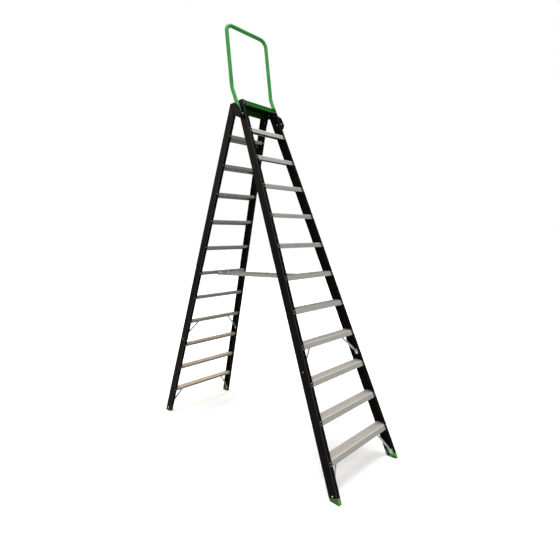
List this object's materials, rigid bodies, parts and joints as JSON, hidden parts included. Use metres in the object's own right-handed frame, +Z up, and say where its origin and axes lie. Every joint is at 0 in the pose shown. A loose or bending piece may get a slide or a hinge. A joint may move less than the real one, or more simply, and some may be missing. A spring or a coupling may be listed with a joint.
{
  "type": "double-sided stepladder",
  "caption": "Double-sided platform stepladder with channel stiles, ribbed treads, a hooped handrail over the platform, folding spreaders and moulded feet.",
  "frame": {"origin": "on the floor, midway between the four feet", "axes": "+Z up, +Y from the near flight to the far flight, +X to the right of someone who faces the near flight"},
  "size_m": [0.778, 2.3768, 3.728],
  "materials": {
    "stile_black": "black satin coating",
    "tread_aluminium": "mill",
    "platform_green": "satin moulded",
    "rail_green": "gloss",
    "foot_green": "moulded",
    "block_black": "moulded",
    "arm_black": "satin",
    "zinc_steel": "zinc plated"
  },
  "bodies": {
    "near_flight": {"handrail": "rail_green", "hinge_block_screws": "zinc_steel", "hinge_pivot_bolts": "arm_black", "left_hinge_block": "block_black", "near_left_foot": "foot_green", "near_left_lower_brace": "zinc_steel", "near_left_stile": "stile_black", "near_left_upper_brace": "zinc_steel", "near_right_foot": "foot_green", "near_right_lower_brace": "zinc_steel", "near_right_stile": "stile_black", "near_right_upper_brace": "zinc_steel", "near_rivets": "zinc_steel", "near_spreader_lugs": "zinc_steel", "near_spreader_pins": "zinc_steel", "near_step_01": "tread_aluminium", "near_step_02": "tread_aluminium", "near_step_03": "tread_aluminium", "near_step_04": "tread_aluminium", "near_step_05": "tread_aluminium", "near_step_06": "tread_aluminium", "near_step_07": "tread_aluminium", "near_step_08": "tread_aluminium", "near_step_09": "tread_aluminium", "near_step_10": "tread_aluminium", "near_step_11": "tread_aluminium", "platform": "platform_green", "right_hinge_block": "block_black"},
    "far_flight": {"far_left_foot": "foot_green", "far_left_lower_brace": "zinc_steel", "far_left_stile": "stile_black", "far_left_upper_brace": "zinc_steel", "far_right_foot": "foot_green", "far_right_lower_brace": "zinc_steel", "far_right_stile": "stile_black", "far_right_upper_brace": "zinc_steel", "far_rivets": "zinc_steel", "far_spreader_lugs": "zinc_steel", "far_spreader_pins": "zinc_steel", "far_step_01": "tread_aluminium", "far_step_02": "tread_aluminium", "far_step_03": "tread_aluminium", "far_step_04": "tread_aluminium", "far_step_05": "tread_aluminium", "far_step_06": "tread_aluminium", "far_step_07": "tread_aluminium", "far_step_08": "tread_aluminium", "far_step_09": "tread_aluminium", "far_step_10": "tread_aluminium", "far_step_11": "tread_aluminium", "hinge_arm_screws": "arm_black", "left_hinge_arm": "arm_black", "right_hinge_arm": "arm_black"},
    "near_left_spreader": {"near_left_spreader_bar": "zinc_steel", "left_spreader_hinge_pin": "zinc_steel"},
    "near_right_spreader": {"near_right_spreader_bar": "zinc_steel", "right_spreader_hinge_pin": "zinc_steel"},
    "far_left_spreader": {"far_left_spreader_bar": "zinc_steel"},
    "far_right_spreader": {"far_right_spreader_bar": "zinc_steel"}
  },
  "joints": [
    {"name": "fold", "type": "hinge", "parent": "near_flight", "child": "far_flight", "pos_m": [0, 0, 2.97561], "axis": [1, 0, 0], "range_deg": [-40, 0]},
    {"name": "near_left_spreader_pivot", "type": "hinge", "parent": "near_flight", "child": "near_left_spreader", "pos_m": [0, -0.544, 1.481], "axis": [1, 0, 0], "range_deg": [0, 70]},
    {"name": "near_right_spreader_pivot", "type": "hinge", "parent": "near_flight", "child": "near_right_spreader", "pos_m": [0, -0.544, 1.481], "axis": [1, 0, 0], "range_deg": [0, 70]},
    {"name": "far_left_spreader_pivot", "type": "hinge", "parent": "far_flight", "child": "far_left_spreader", "pos_m": [0, 0.544, 1.481], "axis": [1, 0, 0], "range_deg": [-70, 0]},
    {"name": "far_right_spreader_pivot", "type": "hinge", "parent": "far_flight", "child": "far_right_spreader", "pos_m": [0, 0.544, 1.481], "axis": [1, 0, 0], "range_deg": [-70, 0]}
  ],
  "couplings": [
    {"joint": "near_left_spreader_pivot", "follows": "fold", "ratio": -1.75},
    {"joint": "near_right_spreader_pivot", "follows": "fold", "ratio": -1.75},
    {"joint": "far_left_spreader_pivot", "follows": "fold", "ratio": 1.75},
    {"joint": "far_right_spreader_pivot", "follows": "fold", "ratio": 1.75}
  ]
}
